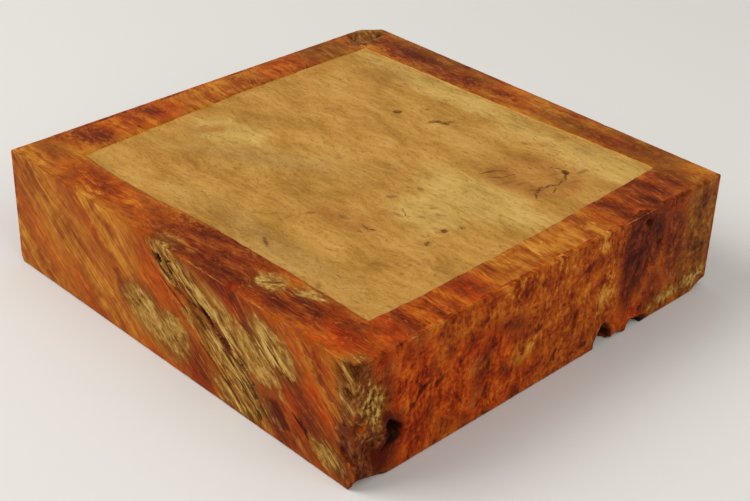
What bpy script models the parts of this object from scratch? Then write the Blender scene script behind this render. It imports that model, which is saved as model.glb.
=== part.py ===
"""Maple burl bowl blank: one square block of sawn burl wood with wax-dipped edges.

The block stands on its lower face. The origin is at the middle of that face, +Z is up, the front face
looks along -Y and the right-hand face along +X. Grain runs along X and dips 37 degrees towards +X.

The block is a bevelled box. Everything else is cut out of it: the bare windows that the wax film frames,
the open cracks and pits of the decayed streak, the bark pockets, and the edges where wood has broken away.
"""

import math
from typing import NamedTuple

import bmesh
import bpy
from mathutils import Matrix, Vector

MM = 0.001

# Driving dimensions
BLOCK_SIDE = 203.2 * MM
BLOCK_HEIGHT = 52.2 * MM
ARRIS = 0.7 * MM
WAX_FILM = 0.4 * MM
GRAIN_DIP = 37.0

HALF_SIDE = BLOCK_SIDE / 2
CUTTER_CLEARANCE = 4.0 * MM

# The edge of the wax film round the bare window, in mm, anticlockwise seen from above.
# The blank was dipped one side at a time, so the four sides aren't quite parallel to the block.
WINDOW_OUTLINE = (
    (-78.6, -81.7), (-64.0, -82.8), (-44.0, -82.6), (-27.0, -81.8), (-14.0, -80.2), (4.0, -79.2),
    (38.0, -78.8), (66.0, -79.2), (84.3, -79.1), (84.9, -52.0), (84.2, -20.0), (83.1, 20.0),
    (81.2, 58.0), (79.6, 86.0), (40.0, 84.6), (0.0, 82.4), (-44.0, 81.4), (-84.0, 79.9),
    (-84.6, 40.0), (-83.8, 0.0), (-81.0, -44.0),
)


class Face(NamedTuple):
    """A side of the block: its plane's origin and the directions along it, up it and out of it."""

    origin: Vector
    along: Vector
    up: Vector
    out: Vector


X = Vector((1, 0, 0))
Y = Vector((0, 1, 0))
Z = Vector((0, 0, 1))
FRONT = Face(-Y * HALF_SIDE, X, Z, -Y)
RIGHT = Face(X * HALF_SIDE, Y, Z, X)
REAR = Face(Y * HALF_SIDE, X, Z, Y)
LEFT = Face(-X * HALF_SIDE, Y, Z, -X)
TOP = Face(Z * (BLOCK_HEIGHT - WAX_FILM), X, Y, Z)
RIM = Face(Z * BLOCK_HEIGHT, X, Y, Z)
BASE = Face(Z * WAX_FILM, X, Y, -Z)


class Hollow(NamedTuple):
    """A crack or pit in a face.

    The centre is given along and up the face in mm, then the length, width and depth in mm, and the
    slope of the length in degrees. Grain cracks in the front face slope by the grain's dip.
    """

    name: str
    face: Face
    centre: tuple
    length: float
    width: float
    depth: float
    slope: float = 0.0


class Chip(NamedTuple):
    """Wood missing from an edge or corner: the centre and half sizes of the lump taken out, in mm.

    Where wood has torn out along its fibres, the lump's first half size lies along the dipping grain.
    """

    name: str
    centre: tuple
    half: tuple
    along_grain: bool = False


DIP = -GRAIN_DIP

# The decayed streak that crosses the front face along the grain
STREAK = (
    Hollow("streak_bed", FRONT, (24.0, 26.5), 74.0, 12.0, 0.9, DIP),
    Hollow("borer_hole", FRONT, (-4.1, 45.5), 5.4, 3.6, 5.0, -60.0),
    Hollow("borer_hole_small", FRONT, (2.3, 46.8), 2.6, 1.8, 3.0, 30.0),
    Hollow("borer_slit", FRONT, (3.4, 42.6), 4.6, 1.4, 2.4, -55.0),
    Hollow("upper_pit", FRONT, (7.0, 47.6), 4.6, 2.4, 1.8, -60.0),
    Hollow("red_pit", FRONT, (0.4, 33.4), 2.4, 2.0, 1.2, 0.0),
    Hollow("short_crack", FRONT, (14.1, 33.4), 11.0, 1.5, 2.4, -14.0),
    Hollow("main_crack", FRONT, (24.1, 33.3), 12.0, 3.0, 4.5, -29.0),
    Hollow("middle_crack", FRONT, (34.3, 27.8), 11.5, 1.8, 2.6, -32.0),
    Hollow("lower_crack", FRONT, (44.3, 22.0), 11.5, 1.6, 2.6, -31.0),
    Hollow("side_crack", FRONT, (40.0, 17.5), 9.0, 1.8, 2.8, -25.0),
    Hollow("under_groove", FRONT, (22.4, 20.6), 17.0, 1.3, 1.4, DIP),
    Hollow("foot_groove", FRONT, (34.0, 13.8), 11.0, 1.5, 1.6, -25.0),
    Hollow("foot_crack", FRONT, (46.6, 9.4), 9.0, 1.4, 2.0, -50.0),
    Hollow("foot_pit", FRONT, (52.2, 4.9), 5.0, 2.8, 3.0, -50.0),
    Hollow("pale_crack_upper", FRONT, (66.0, 40.8), 6.0, 1.2, 1.4, -38.0),
    Hollow("pale_crack_lower", FRONT, (62.5, 38.2), 7.0, 1.2, 1.2, -38.0),
    Hollow("edge_crack", FRONT, (92.5, 39.1), 4.6, 1.6, 2.2, -42.0),
    Hollow("dark_crack", FRONT, (76.0, 13.9), 6.0, 2.0, 2.6, -55.0),
)

# The end-grain face to the right, with its bark hole and scattered pits
END_FACE = (
    Hollow("bark_hole", RIGHT, (-82.2, 19.3), 11.0, 6.2, 8.0, -42.0),
    Hollow("bark_hole_foot", RIGHT, (-85.2, 12.0), 9.0, 3.6, 3.0, 58.0),
    Hollow("dash_left", RIGHT, (-69.3, 28.4), 6.6, 1.9, 2.0, 36.0),
    Hollow("dash_right", RIGHT, (-61.6, 27.7), 3.6, 2.4, 1.6, 30.0),
    Hollow("dash_low", RIGHT, (-74.4, 24.0), 4.0, 2.0, 1.4, 60.0),
    Hollow("low_pit", RIGHT, (-34.6, 7.6), 5.0, 2.2, 2.4, -70.0),
    Hollow("eye_upper", RIGHT, (14.2, 31.5), 4.6, 4.0, 0.9, 0.0),
    Hollow("eye_lower", RIGHT, (13.8, 21.4), 5.2, 3.4, 0.7, 80.0),
    Hollow("stain_pit_upper", RIGHT, (54.9, 47.6), 5.6, 4.2, 1.8, -30.0),
    Hollow("stain_pit_middle", RIGHT, (64.3, 34.9), 6.2, 3.4, 1.6, -20.0),
    Hollow("stain_pit_lower", RIGHT, (57.0, 28.0), 7.0, 4.4, 0.9, 65.0),
)

# Marks in the bare window: pin knots and one fine crack that ends in a knot
WINDOW_MARKS = (
    Hollow("knot_main", TOP, (-25.4, 43.4), 4.8, 3.8, 1.3, 40.0),
    Hollow("knot_beside", TOP, (-19.2, 54.5), 3.4, 2.6, 0.8, 20.0),
    Hollow("knot_cluster", TOP, (-5.4, 50.4), 8.6, 3.2, 1.0, 14.0),
    Hollow("knot_centre", TOP, (-10.9, -5.1), 3.8, 3.2, 0.8, 0.0),
    Hollow("knot_front_one", TOP, (61.0, -27.3), 2.6, 3.4, 0.9, 0.0),
    Hollow("knot_front_two", TOP, (58.9, -15.6), 3.0, 3.0, 1.0, 0.0),
    Hollow("knot_front_three", TOP, (61.4, -8.4), 2.6, 2.2, 0.8, 0.0),
    Hollow("knot_long", TOP, (38.2, -35.3), 7.0, 1.8, 0.8, 0.0),
    Hollow("knot_rim", TOP, (20.7, -70.8), 7.6, 2.2, 1.0, -28.0),
    Hollow("crack_start", TOP, (62.9, 33.2), 4.8, 0.9, 0.9, 124.0),
    Hollow("crack_middle", TOP, (62.0, 37.4), 7.4, 0.8, 0.9, 90.0),
    Hollow("crack_turn", TOP, (62.6, 42.8), 7.0, 0.9, 0.9, 78.0),
    Hollow("crack_end", TOP, (61.8, 49.0), 8.6, 1.0, 1.0, 108.0),
    Hollow("crack_knot", TOP, (58.4, 55.5), 4.0, 3.6, 1.5, 20.0),
    Hollow("rim_crack", RIM, (44.0, -87.0), 4.6, 1.2, 1.2, -20.0),
)

# The two faces that the photograph doesn't show carry the same grain, opened less
HIDDEN_FACES = (
    Hollow("rear_crack_upper", REAR, (-46.0, 33.0), 13.0, 1.8, 2.4, DIP),
    Hollow("rear_crack_lower", REAR, (-30.0, 19.0), 10.0, 1.5, 2.0, DIP),
    Hollow("rear_pit", REAR, (52.0, 36.0), 4.4, 2.8, 1.8, 10.0),
    Hollow("left_eye", LEFT, (38.0, 30.0), 5.0, 3.8, 1.0, 20.0),
    Hollow("left_pit", LEFT, (-22.0, 16.0), 4.2, 2.4, 1.6, 60.0),
    Hollow("base_knot", BASE, (30.0, 24.0), 4.6, 3.6, 1.2, 10.0),
    Hollow("base_knot_small", BASE, (-38.0, -30.0), 3.4, 2.8, 0.9, 0.0),
)

# Broken edges and bark pockets, in the row's X, Y and Z
CHIPS = (
    Chip("front_corner_top", (100.6, -102.7, 50.4), (6.4, 2.6, 2.4), True),
    Chip("front_corner_seam", (95.4, -102.9, 45.6), (8.6, 2.1, 2.0), True),
    Chip("front_corner_upper", (101.4, -103.7, 37.2), (8.0, 3.6, 2.8), True),
    Chip("front_corner_knot", (102.9, -100.6, 27.6), (2.6, 4.0, 4.4)),
    Chip("front_corner_lower", (103.8, -94.2, 13.5), (3.6, 6.8, 8.6)),
    Chip("front_corner_torn", (102.0, -103.4, 23.0), (8.4, 2.8, 2.2), True),
    Chip("front_corner_fibres", (97.2, -103.2, 14.6), (9.4, 2.6, 2.2), True),
    Chip("front_corner_foot", (104.2, -98.2, -2.2), (6.6, 12.4, 8.6)),
    Chip("right_foot_notch", (102.6, 32.8, -0.6), (9.0, 5.6, 10.2)),
    Chip("right_foot_step", (103.6, 41.0, -2.0), (6.0, 6.0, 4.2)),
    Chip("right_foot_recess", (103.4, 53.2, -1.4), (8.0, 5.6, 5.6)),
    Chip("right_corner_foot", (105.4, 101.0, -3.2), (8.4, 13.0, 6.8)),
    Chip("right_rim_rough", (103.0, 77.4, 53.4), (3.4, 7.2, 2.8)),
    Chip("back_corner_knot", (-94.0, 89.6, 54.2), (6.4, 9.6, 4.8)),
    Chip("back_corner_top", (-104.6, 104.8, 53.0), (9.4, 12.4, 5.4)),
    Chip("left_corner_foot", (-104.2, -104.0, -0.6), (4.6, 4.6, 3.2)),
    Chip("rear_rim_rough", (40.0, 103.6, 53.2), (9.0, 3.2, 2.4)),
)

# How uneven a broken surface is, as a share of its half size, and the finest lumps across it
LUMP_SHARE = 0.14
LUMP_WAVES = (2.3, 4.1)


def clear_scene():
    """Remove every object that the file opened with."""
    for thing in list(bpy.data.objects):
        bpy.data.objects.remove(thing, do_unlink=True)


def wood_material():
    """Waxed burl: warm amber, with a soft shine."""
    material = bpy.data.materials.new("waxed_maple_burl")
    material.use_nodes = True
    shader = material.node_tree.nodes["Principled BSDF"]
    shader.inputs["Base Color"].default_value = (0.46, 0.16, 0.035, 1.0)
    shader.inputs["Roughness"].default_value = 0.45
    shader.inputs["Metallic"].default_value = 0.0
    return material


def add_object(name, mesh_builder, collection):
    """Turn a bmesh into a named object in a collection."""
    bmesh.ops.recalc_face_normals(mesh_builder, faces=mesh_builder.faces)
    mesh = bpy.data.meshes.new(name)
    mesh_builder.to_mesh(mesh)
    mesh_builder.free()
    thing = bpy.data.objects.new(name, mesh)
    collection.objects.link(thing)
    return thing


def as_cutter(thing):
    """Mark an object as a cutter, which isn't part of the model."""
    thing.hide_render = True
    thing.display_type = "WIRE"
    return thing


def lumpy_ball(order, subdivisions):
    """A unit ball whose surface swells and dips by two slow waves, different for each order."""
    builder = bmesh.new()
    bmesh.ops.create_icosphere(builder, subdivisions=subdivisions, radius=1.0)
    low, high = LUMP_WAVES
    for vertex in builder.verts:
        x, y, z = vertex.co
        swell = math.sin(low * x + 1.7 * order) * math.cos(low * y - 0.9 * order)
        ripple = math.sin(high * z + 2.3 * order) * math.cos(high * (x - y) + 1.1 * order)
        vertex.co *= 1.0 + LUMP_SHARE * (swell + 0.6 * ripple)
    return builder


def cut_hollow(hollow, order, collection):
    """A crack or pit: a long lumpy ball sunk in its face, with its middle on the face."""
    builder = lumpy_ball(order, 3 if hollow.length > 9.0 else 2)
    face = hollow.face
    size = Matrix.Diagonal((hollow.length / 2 * MM, hollow.width / 2 * MM, hollow.depth * MM, 1.0))
    turn = Matrix.Rotation(math.radians(hollow.slope), 4, "Z")
    to_face = Matrix((face.along, face.up, face.along.cross(face.up))).transposed().to_4x4()
    along, up = hollow.centre
    place = Matrix.Translation(face.origin + face.along * along * MM + face.up * up * MM)
    bmesh.ops.transform(builder, matrix=place @ to_face @ turn @ size, verts=builder.verts)
    return as_cutter(add_object(hollow.name, builder, collection))


def cut_chip(chip, order, collection):
    """Missing wood: a lumpy ball that overlaps an edge or a corner."""
    builder = lumpy_ball(order, 3)
    size = Matrix.Diagonal((chip.half[0] * MM, chip.half[1] * MM, chip.half[2] * MM, 1.0))
    dip = math.radians(GRAIN_DIP) if chip.along_grain else 0.0
    place = Matrix.Translation(Vector(chip.centre) * MM) @ Matrix.Rotation(dip, 4, "Y")
    bmesh.ops.transform(builder, matrix=place @ size, verts=builder.verts)
    return as_cutter(add_object(chip.name, builder, collection))


def cut_window(name, bottom, top, collection):
    """The bare window inside the wax: a prism on the film's edge, as deep as the film is thick."""
    builder = bmesh.new()
    outline = [builder.verts.new((x * MM, y * MM, bottom)) for x, y in WINDOW_OUTLINE]
    floor = builder.faces.new(outline)
    raised = bmesh.ops.extrude_face_region(builder, geom=[floor])
    lifted = [item for item in raised["geom"] if isinstance(item, bmesh.types.BMVert)]
    bmesh.ops.translate(builder, verts=lifted, vec=(0.0, 0.0, top - bottom))
    return as_cutter(add_object(name, builder, collection))


def build_block(material, cutters):
    """The sawn block with eased arrises, less everything in the cutters' collection."""
    builder = bmesh.new()
    bmesh.ops.create_cube(builder, size=1.0)
    size = Matrix.Diagonal((BLOCK_SIDE, BLOCK_SIDE, BLOCK_HEIGHT, 1.0))
    lift = Matrix.Translation((0.0, 0.0, BLOCK_HEIGHT / 2))
    bmesh.ops.transform(builder, matrix=lift @ size, verts=builder.verts)
    block = add_object("burl_block", builder, bpy.context.scene.collection)
    block.data.materials.append(material)

    ease = block.modifiers.new("eased_arrises", "BEVEL")
    ease.width = ARRIS
    ease.segments = 2

    carve = block.modifiers.new("carved_hollows", "BOOLEAN")
    carve.operation = "DIFFERENCE"
    carve.operand_type = "COLLECTION"
    carve.collection = cutters
    carve.solver = "EXACT"
    return block


def main():
    """Build the cutters, then the block that they cut."""
    clear_scene()
    cutters = bpy.data.collections.new("cutters")
    bpy.context.scene.collection.children.link(cutters)

    top_floor = BLOCK_HEIGHT - WAX_FILM
    cut_window("window_top", top_floor, BLOCK_HEIGHT + CUTTER_CLEARANCE, cutters)
    cut_window("window_base", -CUTTER_CLEARANCE, WAX_FILM, cutters)
    for order, hollow in enumerate(STREAK + END_FACE + WINDOW_MARKS + HIDDEN_FACES):
        cut_hollow(hollow, order, cutters)
    for order, chip in enumerate(CHIPS):
        cut_chip(chip, order, cutters)

    build_block(wood_material(), cutters)


main()
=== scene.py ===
"""Looks of a maple burl bowl blank: a square block, dipped in wax along its edges and bare in the middle.

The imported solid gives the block's size. One closed surface stands for it, worked out here with numpy: the
six sawn sides with eased arrises, the step at the edge of the wax film, the cracks and pits of the decayed
streak, the bark pockets and the broken edges. Where the wood is stained or decayed is kept in attributes of
that surface, in millimetres from the stain's edge, and the two finishes draw the grain through them.

Lengths are in millimetres until the surface is put into its mesh. The front side looks along -Y, the
end-grain side along +X, and the fibres run along X and dip towards +X.
"""

import logging
import math
from dataclasses import dataclass
from enum import Enum

import bpy
import numpy as np
from mathutils import Matrix, Vector

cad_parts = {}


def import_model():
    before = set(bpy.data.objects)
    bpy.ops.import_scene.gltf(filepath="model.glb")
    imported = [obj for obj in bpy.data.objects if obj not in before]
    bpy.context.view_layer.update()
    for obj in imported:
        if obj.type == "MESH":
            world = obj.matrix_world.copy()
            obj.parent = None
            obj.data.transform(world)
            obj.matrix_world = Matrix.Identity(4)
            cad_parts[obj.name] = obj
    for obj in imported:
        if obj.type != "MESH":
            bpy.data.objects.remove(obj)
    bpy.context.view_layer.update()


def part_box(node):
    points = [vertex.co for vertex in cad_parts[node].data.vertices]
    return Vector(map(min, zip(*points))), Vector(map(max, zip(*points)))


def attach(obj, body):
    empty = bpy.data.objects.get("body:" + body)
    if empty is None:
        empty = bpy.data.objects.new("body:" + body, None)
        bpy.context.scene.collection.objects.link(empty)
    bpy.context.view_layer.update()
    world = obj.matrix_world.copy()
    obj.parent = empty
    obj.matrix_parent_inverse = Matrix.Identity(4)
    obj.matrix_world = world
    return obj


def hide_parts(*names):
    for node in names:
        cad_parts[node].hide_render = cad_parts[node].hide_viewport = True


LOG = logging.getLogger("maple_burl_blank")

METRES_PER_MM = 0.001
NODE = "burl_block"
BODY = "root"

# How far the fibres dip below X on the sides, and how far the burl's strokes do on the top, in degrees
GRAIN_DIP = 37.0
LEVEL_DIP = 12.0
DIP = -GRAIN_DIP

# How far the attributes tell on each side of a stain's edge, in mm
FIELD_REACH = 12.0

# How many random values the noise has along each axis before it repeats
NOISE_COUNT = 64

# The sizes across of the slow and the quick noise that bend the grain, in mm
SWIRLS = (26.0, 7.0)

# Maple, dry or under wax, bends light by about this index
WOOD_IOR = 1.45

Triple = tuple[float, float, float]
Socket = bpy.types.NodeSocket


def linear(hex_colour: str) -> tuple[float, float, float, float]:
    """Turn an sRGB hex colour into a linear one.

    Each channel c becomes c / 12.92 below 0.04045, and ((c + 0.055) / 1.055) to the power 2.4 above.

    Args:
        hex_colour: six hex digits after a hash sign.

    Returns:
        Linear red, green and blue, and an alpha of 1.
    """
    digits = hex_colour.lstrip("#")
    channels = [int(digits[i : i + 2], 16) / 255 for i in (0, 2, 4)]
    return (*(c / 12.92 if c <= 0.04045 else ((c + 0.055) / 1.055) ** 2.4 for c in channels), 1.0)


class Side(Enum):
    """A side of the block: the axes along it and up it, the axis out of it, and which way that points."""

    FRONT = (0, 2, 1, -1)
    RIGHT = (1, 2, 0, 1)
    REAR = (0, 2, 1, 1)
    LEFT = (1, 2, 0, -1)
    TOP = (0, 1, 2, 1)
    BASE = (0, 1, 2, -1)

    def __init__(self, along: int, up: int, out: int, sign: int) -> None:
        """Name the four numbers."""
        self.along, self.up, self.out, self.sign = along, up, out, sign

    @property
    def turned(self) -> bool:
        """Whether along, up and out make a left-handed set, so that faces have to be turned over."""
        order = np.array([np.eye(3)[self.along], np.eye(3)[self.up], np.eye(3)[self.out] * self.sign])
        return bool(np.linalg.det(order) < 0)

    @property
    def level(self) -> bool:
        """Whether this is the top or the base."""
        return self.out == 2


class Field(Enum):
    """The surface's attributes.

    Most are how deep a point lies inside the nearest stain of a kind, in mm. CRACK is minus the distance
    from a drawn crack in mm, and BANK the place across it in its half widths. The hollows' field and TORN
    are the depth inside what a hollow or a chip took away, in mm, and in the hollows and the clefts that
    depth sets a painted shade, with some dirt. ARRIS is 1 on the upper arrises, where a highlight is
    painted, and LEVEL is 1 on the top and the base.
    """

    DECAYED = "decayed"
    OPENED = "opened"
    MAROON = "maroon"
    EMBER = "ember"
    HONEY = "honey"
    BURLY = "burly"
    UMBER = "umber"
    RUSSET = "russet"
    BARKY = "barky"
    DUSK = "dusk"
    SPECKS = "specks"
    TOFFEE = "toffee"
    CREAM = "cream"
    SMOKE = "smoke"
    CRACK = "crack"
    BANK = "bank"
    PIT = "pit"
    TORN = "torn"
    ARRIS = "arris"
    LEVEL = "level"


@dataclass(frozen=True)
class Hollow:
    """A crack or pit: a lumpy ball sunk in its side, with its middle on the side.

    Along and up give the middle, and the slope is the length's, in degrees. A shallow bed gets no painted
    shade inside.
    """

    side: Side
    along: float
    up: float
    length: float
    width: float
    depth: float
    slope: float = 0.0
    dark: bool = True


@dataclass(frozen=True)
class Chip:
    """Wood missing from an edge or corner: a lumpy ball, given by its centre and half sizes.

    Where wood has torn out along its fibres, the first half size lies along the dipping grain.
    """

    centre: Triple
    half: Triple
    along_grain: bool = False


@dataclass(frozen=True)
class Stain:
    """A patch of stained or decayed wood: an ellipse on a side that reaches into the wood behind it.

    Along and up give the centre, and the slope is the length's, in degrees. Reach is how deep it goes.
    """

    side: Side
    along: float
    up: float
    half_length: float
    half_width: float
    slope: float = 0.0
    reach: float = 7.0


@dataclass(frozen=True)
class Crack:
    """A fine crack that is only drawn: a broken line on a side, given along and up, and its width."""

    side: Side
    path: tuple[tuple[float, float], ...]
    width: float


def on(side: Side, kind: type, *rows: tuple) -> tuple:
    """Marks of one kind on one side, one for each row of the kind's other fields."""
    return tuple(kind(side, *row) for row in rows)


HOLLOWS = (
    # The decayed streak that crosses the front along the grain, with the borers' holes at its top
    *on(
        Side.FRONT, Hollow,
        (24, 26.5, 74, 12, 0.9, DIP, False), (-4.1, 45.5, 5.4, 3.6, 5, -60), (2.3, 46.8, 2.6, 1.8, 3, 30),
        (3.4, 42.6, 4.6, 1.4, 2.4, -55), (7, 47.6, 4.6, 2.4, 1.8, -60), (0.4, 33.4, 2.4, 2, 1.2),
        (14.1, 33.4, 11, 1.5, 2.4, -14), (24.1, 33.3, 12, 3, 4.5, -29), (34.3, 27.8, 11.5, 1.8, 2.6, -32),
        (44.3, 22, 11.5, 1.6, 2.6, -31), (40, 17.5, 9, 1.8, 2.8, -25), (24, 18.4, 15, 1.3, 1.4, DIP),
        (34, 13.8, 11, 1.5, 1.6, -25), (46.6, 9.4, 9, 1.4, 2, -50), (52.2, 4.9, 5, 2.8, 3, -50),
        (66, 40.8, 6, 1.2, 1.4, -38), (92.5, 39.1, 4.6, 1.6, 2.2, -42), (76, 13.9, 6, 2, 2.6, -55),
    ),
    # The bark hole and the scattered pits of the end grain
    *on(
        Side.RIGHT, Hollow,
        (-83.2, 18.8, 9, 5, 7, -62), (-79.9, 16.8, 8.4, 3.6, 5, -40), (-84.8, 13.4, 9.6, 3.8, 4, 32),
        (-69.3, 28.4, 6.6, 1.9, 2, 36), (-61.6, 27.7, 3.6, 2.4, 1.6, 30), (-74.4, 24, 4, 2, 1.4, 60),
        (-34.6, 7.6, 5, 2.2, 2.4, -70), (14.2, 31.5, 4.6, 4, 0.9), (13.8, 21.4, 5.2, 3.4, 0.7, 80),
        (54.9, 47.6, 5.6, 4.2, 1.8, -30), (64.3, 34.9, 6.2, 3.4, 1.6, -20), (57, 28, 7, 4.4, 0.9, 65),
    ),
    # Pin knots in the bare window, the fine crack that ends in a knot, and a crack in the border's pale spot
    *on(
        Side.TOP, Hollow,
        (-25.4, 43.4, 4.8, 3.8, 1.3, 40), (-19.2, 54.5, 3.4, 2.6, 0.8, 20), (-5.4, 50.4, 8.6, 3.2, 1, 14),
        (-10.9, -5.1, 3.8, 3.2, 0.8), (61, -27.3, 3, 4.4, 1.1), (58.9, -15.6, 3.4, 4, 1.3),
        (61.4, -8.4, 3, 3.6, 1), (38.2, -35.3, 8, 3, 1), (20.7, -70.8, 7.6, 2.2, 1, -28),
        (62.9, 33.2, 4.8, 0.9, 0.9, 124), (62, 37.4, 7.4, 0.8, 0.9, 90), (62.6, 42.8, 7, 0.9, 0.9, 78),
        (61.8, 49, 8.6, 1, 1, 108), (58.4, 55.5, 4, 3.6, 1.5, 20), (44, -87, 4.6, 1.2, 1.2, -20),
    ),
    # The sides that no view has shown carry the same grain, opened less
    *on(
        Side.REAR, Hollow,
        (-46, 33, 13, 1.8, 2.4, DIP), (-30, 19, 10, 1.5, 2, DIP), (52, 36, 5, 1.6, 1.6, DIP),
    ),
    *on(Side.LEFT, Hollow, (38, 30, 4, 1.8, 1, 50), (-22, 16, 5.2, 1.6, 1.6, 60)),
    *on(Side.BASE, Hollow, (30, 24, 4.6, 3.6, 1.2, 10), (-38, -30, 3.4, 2.8, 0.9)),
)

# Broken edges and bark pockets
CHIPS = (
    Chip((100.6, -102.7, 50.4), (6.4, 2.6, 2.4), True), Chip((95.4, -102.9, 45.6), (8.6, 2.1, 2), True),
    Chip((101.4, -103.7, 37.2), (8, 3.6, 2.8), True), Chip((102.9, -100.6, 27.6), (2.6, 4, 4.4)),
    Chip((103.8, -94.2, 13.5), (3.6, 6.8, 8.6)), Chip((102, -103.4, 23), (8.4, 2.8, 2.2), True),
    Chip((97.2, -103.2, 14.6), (9.4, 2.6, 2.2), True), Chip((104.2, -98.2, -2.2), (6.6, 12.4, 8.6)),
    Chip((102.6, 32.8, -0.6), (9, 5.6, 10.2)), Chip((103.6, 41, -2), (6, 6, 4.2)),
    Chip((103.4, 53.2, -1.4), (8, 5.6, 5.6)), Chip((105.4, 101, -3.2), (8.4, 13, 6.8)),
    Chip((103, 77.4, 53.4), (3.4, 7.2, 2.8)), Chip((-94, 89.6, 54.2), (6.4, 9.6, 4.8)),
    Chip((-104.6, 104.8, 53), (9.4, 12.4, 5.4)), Chip((-104.2, -104, -0.6), (4.6, 4.6, 3.2)),
    Chip((40, 103.6, 53.2), (9, 3.2, 2.4)),
)

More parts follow.
